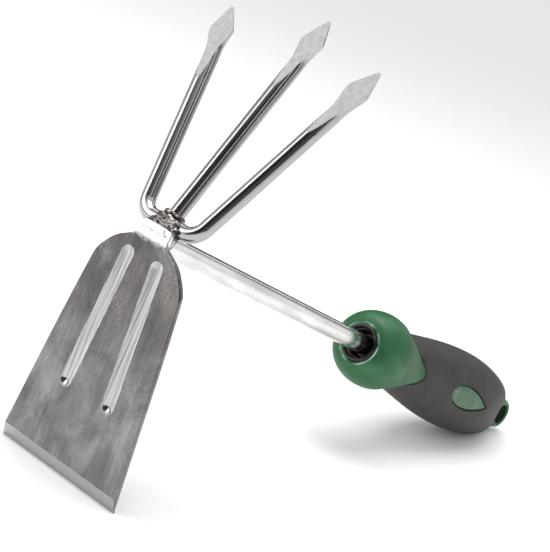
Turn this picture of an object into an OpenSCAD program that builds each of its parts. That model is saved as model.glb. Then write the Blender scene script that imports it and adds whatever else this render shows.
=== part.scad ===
// Two-sided hand cultivator: a hoe blade and a three-tine fork on one welded head,
// a straight round shaft and a two-part soft-grip handle.
// The tool is drawn on its shaft axis: x runs from the head to the handle, y is across
// the blade and z runs along the tines. place() then sets it down on its cutting edge
// and handle, with the origin at the middle of the footprint.

/* [Shaft] */
// Diameter of the round shaft
shaft_d = 8.5; // [6:0.1:11]
// Bare length between the head and the handle's front face
shaft_free = 159.4; // [90:0.1:240]
// Length of shaft held inside the handle
shaft_hold = 62; // [40:1:80]

/* [Hoe blade] */
// Sheet thickness of the blade
sheet_t = 2.3; // [1.5:0.1:3]
// Blade length from its top bend line to the cutting edge
blade_len = 92.5; // [70:0.1:120]
// Blade width at the cutting edge
blade_edge_w = 59.6; // [50:0.1:80]
// Blade width where the straight sides start, below the shoulders
blade_top_w = 43.6; // [40:0.1:48]
// Radius of the shoulders
shoulder_r = 14.6; // [10:0.1:15]
// Distance from the bend line to the top of the shoulders
shoulder_drop = 5.2; // [4:0.1:8]
// Angle by which the blade leans back towards the handle
blade_lean = 10; // [0:0.5:20]
// Length of the ground bevel on the outer face
bevel_len = 4.8; // [3:0.1:8]
// Thickness left at the cutting edge
edge_t = 0.3; // [0.2:0.1:0.6]

/* [Blade neck and grooves] */
// Width of the neck that is welded to the shaft's end
neck_w = 14.6; // [12:0.1:18]
// Height of the neck above its bend line
neck_h = 3.2; // [3:0.1:5]
// Height of the bend line above the shaft axis
bend_z = 2.3; // [1:0.1:3]
// Width of each pressed groove
groove_w = 5.7; // [4:0.1:7]
// Depth of each pressed groove
groove_depth = 1.4; // [0.8:0.1:2]
// Distance of a groove's upper end from the centre line
groove_top_y = 7.3; // [6:0.1:9]
// Distance of a groove's lower end from the centre line
groove_low_y = 11; // [9:0.1:13]
// Distance from the bend line to the centre of a groove's upper end
groove_start = 11; // [9:0.1:16]
// Length of a groove between the centres of its ends
groove_len = 50.5; // [30:0.5:56]

/* [Tines] */
// Diameter of the tine rod
tine_d = 5.9; // [5:0.1:8]
// Length of each side tine from the corner of the bow to its point
side_tine_len = 84.7; // [60:0.1:120]
// Length of the centre tine from the bow's axis to its point
centre_tine_len = 94.1; // [70:0.1:130]
// Half the distance between the corners of the bow
bow_half_w = 12.8; // [12:0.1:18]
// Radius of the bends of the bow, at the rod's axis
bow_bend_r = 7; // [5:0.1:8]
// Angle by which each side tine opens outwards
side_splay = 15.3; // [5:0.1:22]
// Angle by which the plane of the side tines leans to the handle
side_lean = 11.7; // [0:0.1:20]
// Angle by which the centre tine leans to the handle
centre_lean = 15.6; // [0:0.1:25]
// Bite of the bow into the top of the shaft, where the weld has melted them together
bow_bite = 0.5; // [0.3:0.1:1]
// Width of the flat diamond point
point_w = 9.7; // [8:0.1:12]
// Length of the diamond from its widest place to its tip
point_len = 9.8; // [7:0.1:14]
// Length over which the point widens from the rod
flare_len = 12; // [8:0.1:16]
// Length of the flat ground on each point
facet_len = 32; // [26:0.5:40]
// Thickness left at the tip
tip_t = 0.8; // [0.5:0.1:1.2]

/* [Welds] */
// Size of the bead round the foot of the centre tine
tine_bead = 1.3; // [0.8:0.1:2]
// Radius of the beads beside the neck
neck_bead = 2.6; // [2:0.1:3.5]
// Radius of the bead along the neck's top edge
top_bead = 1.5; // [1:0.1:2]
// Radius of the beads behind the bow
bow_bead = 1.8; // [1.2:0.1:2.4]

/* [Handle] */
// Length from the collar's front face to the thickest place of the grip
belly_at = 100.5; // [80:0.5:120]
// Length from the thickest place to where the grip's outline would close
tail_len = 57; // [46:0.5:75]
// Diameter of the collar
collar_d = 34; // [30:0.1:40]
// Length from the collar's front face to its largest diameter
collar_peak = 14.5; // [12:0.1:18]
// Length of the full collar, tongues left out
collar_len = 20; // [19:0.1:24]
// Diameter of the collar's flat front face
face_d = 20; // [19:0.1:23]
// Diameter of the waist behind the collar
waist_d = 27.2; // [25:0.1:30]
// Length from the front face to the waist
waist_at = 37.5; // [32:0.1:44]
// Diameter of the thickest place of the grip
belly_d = 38.2; // [34:0.1:44]
// Thickness of the soft grip over the hard core
grip_t = 2.8; // [2:0.1:4]
// Gap between the grip and the core all round
bond_gap = 0.05; // [0.02:0.01:0.1]

/* [Collar tongues and side inlays] */
// Length of the pointed tongue behind the collar, on each side
tongue_len = 22.5; // [16:0.1:28]
// Half the width of the tongue at its root
tongue_half_w = 12.3; // [8:0.1:12.5]
// Length from the front face to the inlay's round end
inlay_at = 68.5; // [62:0.5:80]
// Length of the drop-shaped inlay
inlay_len = 35; // [20:0.5:44]
// Largest width of the inlay
inlay_w = 10.8; // [6:0.1:14]

/* [Tail eye] */
// Length from the front face to the centre of the hang hole
eye_at = 153.3; // [145:0.1:165]
// Outer diameter of the eye
eye_d = 16; // [15:0.1:19]
// Diameter of the hang hole
hang_hole_d = 10.2; // [7:0.1:11]
// Thickness of the eye across the handle
eye_t = 11.2; // [8:0.1:12]
// Length from the front face to where the sides start to thin towards the eye
thin_from = 103.5; // [98:0.5:108]
// Length from the front face to where the sides are down to the eye's thickness
thin_to = 146; // [140:0.5:149]
// Length from the front face to the ends of the grip, above and below the eye
grip_end = 150.5; // [149:0.5:151]

/* [Entry ring] */
// Outer diameter of the ring where the shaft enters the collar
ring_d = 16.6; // [15:0.1:18]
// Wall thickness of the ring
ring_wall = 1.4; // [1:0.1:2]
// Depth of the ring's cup behind the front face
ring_depth = 9; // [5:0.1:11]
// Thickness of the cup's floor
ring_floor = 2; // [1:0.1:3]
// Height of the ring's lip before the front face
ring_proud = 0.3; // [0:0.1:0.6]
// Depth of the chamfer round the ring's seat
seat_chamfer = 0.9; // [0.5:0.1:1.5]
// Radial clearance of the ring and of the shaft in their seats
seat_clear = 0.05; // [0.02:0.01:0.1]

/* [Hidden] */
$fn = 48;
shaft_r = shaft_d / 2;
tine_r = tine_d / 2;
// Front face of the shaft's end; the neck's back face lies on it.
shaft_front = 0;
neck_front = shaft_front - sheet_t;
// Height of the bow's axis, so that the rod bites into the top of the shaft.
bow_z = shaft_r + tine_r - bow_bite;
// Place of the bow's axis along the shaft: the rod touches the neck's plane.
bow_x = shaft_front + tine_r + 0.15;
bow_span = bow_bend_r * tan((90 - side_splay) / 2);
// A rod thins a little where it is bent, and each bend laps into the straight rod
// by this angle, so that the whole bow is one solid.
bend_thin = 0.06;
bend_lap = 3;
handle_x = shaft_front + shaft_free;
collar_r = collar_d / 2;
face_r = face_d / 2;
waist_r = waist_d / 2;
belly_r = belly_d / 2;
ring_r = ring_d / 2;
eye_r = eye_d / 2;
arc_steps = 6;
// Reach of cutting shapes past the solid that they cut.
past = 1;
steel = [0.62, 0.63, 0.64];
green = [0.13, 0.40, 0.22];
dark = [0.26, 0.26, 0.25];
gloss_black = [0.06, 0.05, 0.06];

// Eased step from a to b while t runs from 0 to 1.
function ease(a, b, t) = a + (b - a) * (1 - cos(180 * t)) / 2;
// Radius of the collar and its tongues at length u behind the front face.
function collar_at(u) =
    u < collar_peak
        ? face_r + (collar_r - face_r) * sqrt(1 - pow(1 - u / collar_peak, 2))
    : u < waist_at
        ? ease(collar_r, waist_r, (u - collar_peak) / (waist_at - collar_peak))
    : grip_at(u);
// Radius of the grip at length u behind the front face.
function grip_at(u) =
    u < waist_at ? waist_r
    : u < belly_at
        ? waist_r + (belly_r - waist_r)
            * pow(sin(90 * (u - waist_at) / (belly_at - waist_at)), 1.15)
    : belly_r * sqrt(max(0, 1 - pow((u - belly_at) / tail_len, 2)));
// Half the width across the sides, which thin towards the eye.
function side_at(u) =
    u < thin_from ? belly_r
    : ease(belly_r, eye_t / 2, min(1, (u - thin_from) / (thin_to - thin_from)));
// Half the width of the tongue at share t of its length.
function tongue_half(t) = tongue_half_w * pow(1 - t, 0.55);
// Half the width of the drop-shaped inlay at share t of its length.
function inlay_half(t) = inlay_w / 2 * sqrt(t) * (1 - t) * 1.5 * sqrt(3);

// The blade's lean and the places of its edge, in the plane of the shaft.
blade_down = [sin(blade_lean), -cos(blade_lean)];
blade_out = [-cos(blade_lean), -sin(blade_lean)];
bend_pt = [neck_front, bend_z];
edge_pt = bend_pt + blade_len * blade_down - sheet_t * blade_out;
bevel_pt = bend_pt + (blade_len - bevel_len) * blade_down;
// Tilt that lays the cutting edge and the underside of the grip on one plane.
rest_tilt = min([for (k = [0:60])
    let (u = waist_at + k * (thin_to - waist_at) / 60)
    atan((-grip_at(u) - edge_pt[1]) / (handle_x + u - edge_pt[0]))]);
function row_x(p) = p[0] * cos(rest_tilt) + p[1] * sin(rest_tilt);
function row_z(p) = -p[0] * sin(rest_tilt) + p[1] * cos(rest_tilt);
back_x = (handle_x + eye_at) * cos(rest_tilt) + eye_r;
mid_x = (min(row_x(bevel_pt), row_x(edge_pt)) + back_x) / 2;

// Moves a piece from the shaft's frame to the resting frame.
module place() {
    translate([-mid_x, 0, -row_z(edge_pt)]) rotate([0, rest_tilt, 0]) children();
}

// Puts a shape drawn in x and y, y being the length, on the shaft axis.
module on_axis() {
    translate([handle_x, 0, 0]) rotate([0, 90, 0]) children();
}

// Puts a plan drawn in x and z of the shaft's frame across the whole width in y.
module across(depth) {
    rotate([90, 0, 0]) linear_extrude(depth, center = true) children();
}

// Carries a shape to the blade's outer face: x across, y up from the bend line,
// z out of the face.
module on_blade() {
    translate([bend_pt[0], 0, bend_pt[1]]) rotate([0, -90 - blade_lean, 0])
        rotate([0, 0, -90]) children();
}

// Side view of the sheet: neck, bend, blade and bevel.
module blade_section() {
    p = bend_pt;
    polygon([
        [p[0], p[1] + neck_h], p, bevel_pt, edge_pt + edge_t * blade_out, edge_pt,
        [p[0] + sheet_t, p[1] + sheet_t * tan(blade_lean / 2)],
        [p[0] + sheet_t, p[1] + neck_h]
    ]);
}

// Front view of the blade, length downwards from the bend line.
module blade_outline() {
    side_y = -shoulder_drop - shoulder_r;
    top_x = blade_top_w / 2;
    low_x = blade_edge_w / 2;
    reach = past + sheet_t;
    slope = (low_x - top_x) / (blade_len + side_y);
    polygon([
        [-top_x, side_y], [top_x, side_y],
        [low_x + slope * reach, -blade_len - reach],
        [-low_x - slope * reach, -blade_len - reach]
    ]);
    for (s = [-1, 1]) translate([s * (top_x - shoulder_r), side_y]) circle(shoulder_r);
    translate([-(top_x - shoulder_r), side_y])
        square([2 * (top_x - shoulder_r), shoulder_r]);
    translate([-neck_w / 2, side_y]) square([neck_w, neck_h + past - side_y]);
}

// One pressed channel as a bar with pointed ends, its axis away from the sheet.
module groove_bar(s) {
    r = (pow(groove_w / 2, 2) + pow(groove_depth, 2)) / (2 * groove_depth);
    turn = atan((groove_low_y - groove_top_y) / groove_len);
    translate([s * groove_top_y, -groove_start, r - groove_depth])
        rotate([0, 0, s * turn]) rotate([90, 0, 0]) rotate_extrude() polygon([
            [0, -2 * r], [r, 0], [r, groove_len], [0, groove_len + 2 * r]
        ]);
}

module hoe_blade() {
    color(steel) place() difference() {
        union() {
            intersection() {
                across(2 * blade_edge_w) blade_section();
                on_blade() translate([0, 0, -8 * sheet_t])
                    linear_extrude(16 * sheet_t) blade_outline();
            }
            // The back of each groove stands out behind the sheet.
            intersection() {
                on_blade() for (s = [-1, 1])
                    translate([0, 0, -sheet_t]) groove_bar(s);
                on_blade() translate([-blade_edge_w / 2, -blade_len, -2 * sheet_t])
                    cube([blade_edge_w, blade_len, 1.5 * sheet_t]);
            }
        }
        on_blade() for (s = [-1, 1]) groove_bar(s);
    }
}

// A straight rod along z with a flat diamond point; z = 0 is its foot and the flat
// faces -x.
module pointed_rod(len) {
    wide_z = len - point_len;
    flare_z = wide_z - flare_len;
    turn = atan((tine_r - tip_t / 2) / facet_len);
    difference() {
        union() {
            cylinder(h = wide_z, r = tine_r);
            rotate([0, 90, 0]) rotate([0, 0, 90])
                linear_extrude(tine_r, center = true)
                polygon([
                    [-tine_r, flare_z], [tine_r, flare_z], [point_w / 2, wide_z],
                    [0, len], [-point_w / 2, wide_z]
                ]);
        }
        // Flat ground on the outer side, down to the tip.
        translate([-tip_t / 2, 0, len]) rotate([0, turn, 0])
            translate([-2 * tine_d, -point_w, -2 * facet_len])
            cube([2 * tine_d, 2 * point_w, 3 * facet_len]);
        // Back of the diamond, bevelled down to the tip.
        translate([tip_t / 2, 0, len]) rotate([0, -atan(tine_r / 2 / point_len), 0])
            translate([0, -point_w, -point_len])
            cube([2 * tine_d, 2 * point_w, 2 * point_len]);
    }
}

// The bow's plane: y across, z up the tines, leaning to the handle.
module on_bow() {
    translate([bow_x, 0, bow_z]) rotate([0, side_lean, 0]) children();
}

// A rod bent twice into a bow, both ends forged into points.
module side_tines() {
    color(steel) place() on_bow() {
        rotate([90, 0, 0])
            cylinder(h = 2 * (bow_half_w - bow_span), r = tine_r, center = true);
        for (s = [0, 1]) mirror([0, s, 0]) {
            translate([0, bow_half_w - bow_span, bow_bend_r]) rotate([90, 0, 90])
                rotate([0, 0, -90 - bend_lap])
                rotate_extrude(angle = 90 - side_splay + 2 * bend_lap)
                translate([bow_bend_r, 0]) circle(tine_r - bend_thin);
            translate([0, bow_half_w, 0]) rotate([-side_splay, 0, 0])
                translate([0, 0, bow_span]) pointed_rod(side_tine_len - bow_span);
        }
    }
}

module centre_tine_body() {
    translate([bow_x, 0, bow_z]) rotate([0, centre_lean, 0]) children();
}

// The bow's straight rod across the shaft, for cutting what is welded to it.
module bow_bar() {
    on_bow() rotate([90, 0, 0])
        cylinder(h = 2 * bow_half_w, r = tine_r, center = true);
}

module centre_tine() {
    color(steel) place() difference() {
        centre_tine_body() pointed_rod(centre_tine_len);
        bow_bar();
        translate([-shaft_d, -shaft_d, bow_z - shaft_d])
            cube([2 * shaft_d, 2 * shaft_d, shaft_d]);
    }
}

module shaft() {
    color(steel) place() difference() {
        translate([shaft_front, 0, 0]) rotate([0, 90, 0])
            cylinder(h = shaft_free + shaft_hold, r = shaft_r);
        bow_bar();
    }
}

// Everything that a weld bead must leave free.
module welded_steel() {
    bow_bar();
    centre_tine_body() cylinder(h = centre_tine_len / 2, r = tine_r);
    translate([shaft_front, 0, 0]) rotate([0, 90, 0]) cylinder(h = shaft_free, r = shaft_r);
    translate([neck_front, -neck_w / 2, bend_z - 2 * shaft_d])
        cube([sheet_t, neck_w, neck_h + 2 * shaft_d]);
}

module centre_tine_weld() {
    color(steel) place() difference() {
        centre_tine_body() translate([0, 0, tine_r + tine_bead / 2]) union() {
            rotate_extrude() translate([tine_r, 0]) circle(tine_bead);
            translate([0, 0, -tine_bead]) cylinder(h = tine_bead, r = tine_r + tine_bead);
        }
        welded_steel();
    }
}

module neck_top_weld() {
    half = neck_w / 2 - top_bead;
    color(steel) place() difference() {
        translate([neck_front + sheet_t / 2, 0, bend_z + neck_h]) {
            rotate([90, 0, 0]) cylinder(h = 2 * half, r = top_bead, center = true);
            for (s = [-1, 1]) translate([0, s * half, 0]) sphere(top_bead);
        }
        welded_steel();
    }
}

// A bead in the corner between the neck's back and one side of the shaft.
module neck_side_weld(s) {
    low = -shaft_r / 2;
    high = bow_z - tine_r - neck_bead / 2;
    color(steel) place() difference() {
        translate([shaft_front + neck_bead / 3, s * (shaft_r + neck_bead / 3), low]) {
            cylinder(h = high - low, r = neck_bead);
            sphere(neck_bead);
            translate([0, 0, high - low]) sphere(neck_bead);
        }
        welded_steel();
        translate([neck_front - shaft_d, -neck_w, -2 * shaft_d])
            cube([shaft_front - neck_front + shaft_d, 2 * neck_w, 4 * shaft_d]);
    }
}

module neck_side_weld_left() { neck_side_weld(1); }
module neck_side_weld_right() { neck_side_weld(-1); }

// A bead in the corner behind the bow, on top of the shaft.
module bow_weld() {
    half = shaft_r - bow_bead;
    color(steel) place() difference() {
        translate([bow_x + tine_r + bow_bead / 4, 0, shaft_r + bow_bead / 4]) {
            rotate([90, 0, 0]) cylinder(h = 2 * half, r = bow_bead, center = true);
            for (s = [-1, 1]) translate([0, s * half, 0]) sphere(bow_bead);
        }
        welded_steel();
    }
}

// Glossy cup in the collar's front that the shaft passes through.
module entry_ring() {
    bore_r = shaft_r + seat_clear;
    color(gloss_black) place() on_axis() rotate_extrude() polygon([
        [bore_r, ring_depth - ring_floor], [ring_r - ring_wall, ring_depth - ring_floor],
        [ring_r - ring_wall, -ring_proud + ring_wall / 4],
        [ring_r - 3 * ring_wall / 4, -ring_proud], [ring_r - ring_wall / 4, -ring_proud],
        [ring_r, -ring_proud + ring_wall / 4], [ring_r, ring_depth], [bore_r, ring_depth]
    ]);
}

// Turned shape from length a to length b; inset thins it all round, and style
// chooses the collar's outline or the grip's.
module turned(a, b, inset, style, steps) {
    pts = [for (k = [0:steps]) let (u = a + (b - a) * k / steps)
        [max(0.5, (style == "collar" ? collar_at(u) : grip_at(u)) - inset), u]];
    on_axis() rotate_extrude() polygon(concat([[0, a]], pts, [[0, b]]));
}

// Plan that thins the sides of the tail; inset makes it narrower all round.
module thinned(inset) {
    pts = [for (k = [0:arc_steps]) let (u = thin_from + (thin_to - thin_from) * k / arc_steps)
        [handle_x + u, side_at(u) - inset]];
    far = handle_x + eye_at + 2 * eye_r;
    near = handle_x - past;
    wide = belly_r + past - inset;
    tail = eye_t / 2 - inset;
    translate([0, 0, -belly_d]) linear_extrude(2 * belly_d) polygon(concat(
        [[near, -wide], [near, wide], [handle_x + thin_from - past, wide]],
        pts, [[far, tail], [far, -tail]],
        [for (k = [arc_steps:-1:0]) [pts[k][0], -pts[k][1]]],
        [[handle_x + thin_from - past, -wide]]
    ));
}

// Pointed tongue of the collar, widened by gap for the grip's window.
module tongue_plan(gap) {
    n = 2 * arc_steps;
    // The steps are finer towards the round end.
    pts = [for (k = [0:n]) let (t = 1 - pow(1 - k / n, 2))
        [handle_x + collar_len + tongue_len * t + gap, tongue_half(t) + gap]];
    start = handle_x + collar_len - past;
    polygon(concat([[start, -pts[0][1]]], [for (p = pts) [p[0], -p[1]]],
        [for (k = [n:-1:0]) pts[k]], [[start, pts[0][1]]]));
}

// Drop-shaped inlay, widened by gap for the grip's window.
module inlay_plan(gap) {
    n = 2 * arc_steps;
    pts = [for (k = [0:n]) let (t = pow(k / n, 2))
        [handle_x + inlay_at + inlay_len * t, inlay_half(t) + gap]];
    polygon(concat([[pts[0][0] - gap, 0]], [for (p = pts) [p[0], -p[1]]],
        [[pts[n][0] + 3 * gap, 0]], [for (k = [n:-1:0]) pts[k]]));
}

// The core's shape under the soft grip; gap is added all round to cut the grip.
module inner_core(gap) {
    from = collar_len - past;
    intersection() {
        turned(from, thin_to, grip_t - gap, "grip", 2 * arc_steps);
        thinned(grip_t - gap);
    }
    intersection() {
        across(2 * belly_d) tongue_plan(gap);
        turned(collar_len - past, collar_len + tongue_len + past, -gap, "collar", arc_steps);
    }
    intersection() {
        across(2 * belly_d) inlay_plan(gap);
        turned(inlay_at - past, inlay_at + inlay_len + past, -gap, "grip", arc_steps);
    }
}

// Round of the tail eye, for cutting the grip with gap all round and past its faces.
module eye_disc(gap) {
    translate([handle_x + eye_at, 0, 0]) rotate([90, 0, 0])
        cylinder(h = eye_t + 20 * gap, r = eye_r + gap, center = true);
}

module handle_core() {
    seat_r = ring_r + seat_clear;
    color(green) place() difference() {
        union() {
            turned(0, collar_len, 0, "collar", 2 * arc_steps);
            inner_core(0);
            eye_disc(0);
        }
        // Seat of the entry ring with its chamfer.
        on_axis() rotate_extrude() polygon([
            [0, -past], [face_r, -past], [face_r, 0], [seat_r, seat_chamfer],
            [seat_r, ring_depth + seat_clear], [0, ring_depth + seat_clear]
        ]);
        // Socket of the shaft.
        on_axis() cylinder(h = shaft_hold + seat_clear, r = shaft_r + seat_clear);
        translate([handle_x + eye_at, 0, 0]) rotate([90, 0, 0])
            cylinder(h = 2 * eye_t, d = hang_hole_d, center = true);
    }
}

module grip() {
    from = collar_len + bond_gap;
    color(dark) place() difference() {
        intersection() {
            union() {
                turned(from, belly_at, 0, "grip", 2 * arc_steps);
                turned(belly_at, grip_end, 0, "grip", 2 * arc_steps);
            }
            thinned(0);
        }
        inner_core(bond_gap);
        eye_disc(bond_gap);
    }
}

hoe_blade();
side_tines();
centre_tine();
shaft();
centre_tine_weld();
neck_top_weld();
neck_side_weld_left();
neck_side_weld_right();
bow_weld();
entry_ring();
handle_core();
grip();
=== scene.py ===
"""Two-sided hand cultivator: a pressed hoe blade and three forged tines welded to a
polished shaft, with a hard green handle core under a soft grey grip."""

import math

import bmesh
import bpy
import numpy as np
from mathutils import Matrix, Vector


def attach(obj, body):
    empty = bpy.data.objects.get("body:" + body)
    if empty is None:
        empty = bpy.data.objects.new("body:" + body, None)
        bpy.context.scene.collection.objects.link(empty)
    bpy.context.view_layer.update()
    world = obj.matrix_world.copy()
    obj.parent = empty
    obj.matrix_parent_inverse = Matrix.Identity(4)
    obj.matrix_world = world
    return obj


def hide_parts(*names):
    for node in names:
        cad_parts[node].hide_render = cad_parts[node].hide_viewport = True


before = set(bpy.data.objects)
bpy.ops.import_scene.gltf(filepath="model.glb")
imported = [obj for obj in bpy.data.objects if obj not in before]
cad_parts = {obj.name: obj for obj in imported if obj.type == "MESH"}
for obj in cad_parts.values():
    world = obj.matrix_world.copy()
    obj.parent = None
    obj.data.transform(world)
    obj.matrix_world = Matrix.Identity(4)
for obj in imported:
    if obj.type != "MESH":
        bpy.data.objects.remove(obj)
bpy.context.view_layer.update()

bl_info = {
    "name": "Hand cultivator",
    "version": (1, 0, 0),
    "blender": (4, 5, 0),
    "location": "View3D > Sidebar > Cultivator",
    "description": "Builds a two-sided hand cultivator over its exact solids",
    "category": "Object",
}

MM = 0.001
BODY = "root"
# The tool is worked out on its shaft axis (x from the head to the handle, y across,
# z up the tines, in mm) and then laid down on its cutting edge and grip.
TILT = math.radians(14.7309)
MID_X = 150.7745
LIFT = 89.5653


def placed(points):
    """Points of the shaft's frame in mm as points of the resting frame in metres."""
    p = np.asarray(points, float)
    c, s = math.cos(TILT), math.sin(TILT)
    x = p[..., 0] * c + p[..., 2] * s - MID_X
    z = -p[..., 0] * s + p[..., 2] * c + LIFT
    return np.stack([x, p[..., 1], z], -1) * MM


def linear(code):
    """An sRGB hex colour such as "3a6b45" as linear RGBA."""
    out = []
    for i in (0, 2, 4):
        v = int(code[i : i + 2], 16) / 255
        out.append(v / 12.92 if v <= 0.04045 else ((v + 0.055) / 1.055) ** 2.4)
    return (*out, 1.0)


def smooth(t):
    t = np.clip(t, 0, 1)
    return t * t * (3 - 2 * t)


def through(x, xs, ys):
    """A curve without overshoot through the points xs, ys, read at x."""
    xs, ys = np.asarray(xs, float), np.asarray(ys, float)
    h, d = np.diff(xs), np.diff(ys) / np.diff(xs)
    m = np.zeros_like(ys)
    m[0], m[-1] = d[0], d[-1]
    same = d[:-1] * d[1:] > 0
    w1, w2 = 2 * h[1:] + h[:-1], h[1:] + 2 * h[:-1]
    with np.errstate(divide="ignore", invalid="ignore"):
        mean = (w1 + w2) / (w1 / d[:-1] + w2 / d[1:])
    m[1:-1] = np.where(same, mean, 0)
    x = np.clip(np.asarray(x, float), xs[0], xs[-1])
    k = np.clip(np.searchsorted(xs, x) - 1, 0, len(h) - 1)
    t = (x - xs[k]) / h[k]
    return (
        (2 * t**3 - 3 * t**2 + 1) * ys[k]
        + (t**3 - 2 * t**2 + t) * h[k] * m[k]
        + (-2 * t**3 + 3 * t**2) * ys[k + 1]
        + (t**3 - t**2) * h[k] * m[k + 1]
    )


class Shell:
    """Points, faces and surface coordinates of one closed skin, loop by loop."""

    def __init__(self):
        self.points, self.faces, self.uv, self.slots = [], [], [], []

    def loop(self, pts, uv=None):
        start = len(self.points)
        self.points.extend(map(tuple, pts))
        self.uv.extend(map(tuple, uv if uv is not None else np.zeros((len(pts), 2))))
        return list(range(start, len(self.points)))

    def bridge(self, a, b, slot=0):
        for i in range(len(a)):
            j = (i + 1) % len(a)
            self.faces.append((a[i], a[j], b[j], b[i]))
            self.slots.append(slot)

    def skin(self, loops, slot=0):
        for a, b in zip(loops, loops[1:]):
            self.bridge(a, b, slot)

    def cap(self, ring, centre, slot=0):
        mid = self.loop([centre], [self.uv[ring[0]]])[0]
        for i in range(len(ring)):
            self.faces.append((ring[i], ring[(i + 1) % len(ring)], mid))
            self.slots.append(slot)

    def piece(self, name, materials, crease=40, weld=1e-7):
        """The skin as an object in the resting frame, faces outwards."""
        mesh = bpy.data.meshes.new(name)
        mesh.from_pydata(placed(self.points).tolist(), [], self.faces)
        layer = mesh.uv_layers.new(name="surface_mm")
        index = np.zeros(len(mesh.loops), int)
        mesh.loops.foreach_get("vertex_index", index)
        layer.data.foreach_set("uv", np.array(self.uv, float)[index].ravel())
        mesh.polygons.foreach_set("material_index", self.slots)
        for m in materials:
            mesh.materials.append(m)
        work = bmesh.new()
        work.from_mesh(mesh)
        bmesh.ops.remove_doubles(work, verts=work.verts, dist=weld)
        bmesh.ops.recalc_face_normals(work, faces=work.faces)
        work.to_mesh(mesh)
        work.free()
        mesh.shade_smooth()
        mesh.set_sharp_from_angle(angle=math.radians(crease))
        obj = bpy.data.objects.new(name, mesh)
        bpy.context.scene.collection.objects.link(obj)
        return obj


def hand_over(piece, slot, *nodes):
    """Ties a finished piece to the frame and puts it in place of its solids."""
    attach(piece, BODY)
    if nodes:
        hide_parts(*nodes)


def turned(shell, profile, steps):
    """Loops of a shape turned on the shaft axis from (x, radius) points."""
    a = np.linspace(0, 2 * math.pi, steps, endpoint=False)
    rings, run = [], 0.0
    for k, (x, r) in enumerate(profile):
        if k:
            run += math.dist(profile[k - 1], (x, r))
        pts = np.stack([np.full(steps, x), r * np.sin(a), r * np.cos(a)], -1)
        rings.append(shell.loop(pts, np.stack([a * r, np.full(steps, run)], -1)))
    shell.skin(rings)
    return rings


# ---------------------------------------------------------------- materials


def add(tree, kind, inputs=None, stops=(), **settings):
    """Adds a node with its settings and colour stops, and links what is a node's first
    output or a socket; anything else is set on the input itself."""
    n = tree.nodes.new(kind)
    for key, value in settings.items():
        setattr(n, key, value)
    if stops:
        band = n.color_ramp.elements
        while len(band) < len(stops):
            band.new(0.5)
        for e, (at, code) in zip(band, stops):
            e.position, e.color = at, linear(code)
    for key, value in (inputs or {}).items():
        if isinstance(value, bpy.types.Node):
            value = next(o for o in value.outputs if o.enabled)
        if isinstance(value, bpy.types.NodeSocket):
            tree.links.new(value, n.inputs[key])
        else:
            n.inputs[key].default_value = value
    return n


SPREAD = ("From Min", "From Max", "To Min", "To Max")


def patterned(name, table):
    """An empty material with its noise patterns. Each lies on mm of the surface (uv) or
    of the solid, with its lumps to the mm, detail, roughness, stretch and distortion."""
    m = bpy.data.materials.new(name)
    m.use_nodes = True
    t = m.node_tree
    t.nodes.clear()
    spot = add(t, "ShaderNodeTexCoord").outputs["Object"]
    mm = {"uv": add(t, "ShaderNodeUVMap", uv_map="surface_mm"),
          "solid": add(t, "ShaderNodeVectorMath", {0: spot, "Scale": 1 / MM},
                       operation="SCALE")}
    made = {}
    for key, (space, per_mm, detail, rough, *more) in table.items():
        stretch, distort = (*more, *((1, 1, 1), 0.0)[len(more):])
        where = add(t, "ShaderNodeMapping", {"Vector": mm[space], "Scale": stretch})
        made[key] = add(t, "ShaderNodeTexNoise", {
            "Vector": where, "Scale": per_mm, "Detail": detail, "Roughness": rough,
            "Distortion": distort})
    return m, t, mm, made


def surface(name, table, colour, stops, rough, raised=(), **uniform):
    """A material that colours one pattern, spreads one over the roughness (or takes one
    number) and raises some by their depth in mm."""
    m, t, _, made = patterned(name, table)
    look = {"Base Color": add(t, "ShaderNodeValToRGB", {"Fac": made[colour]}, stops),
            "Roughness": rough, **uniform}
    if isinstance(rough, tuple):
        look["Roughness"] = add(t, "ShaderNodeMapRange", {
            "Value": made[rough[0]], **dict(zip(SPREAD, (0.3, 0.7, *rough[1:])))})
    for key, depth in raised:
        below = {"Normal": look["Normal"]} if "Normal" in look else {}
        look["Normal"] = add(t, "ShaderNodeBump", {
            "Height": made[key], "Distance": depth * MM, "Strength": 1.0, **below})
    add(t, "ShaderNodeOutputMaterial", {
        "Surface": add(t, "ShaderNodeBsdfPrincipled", look)})
    return m


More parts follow.
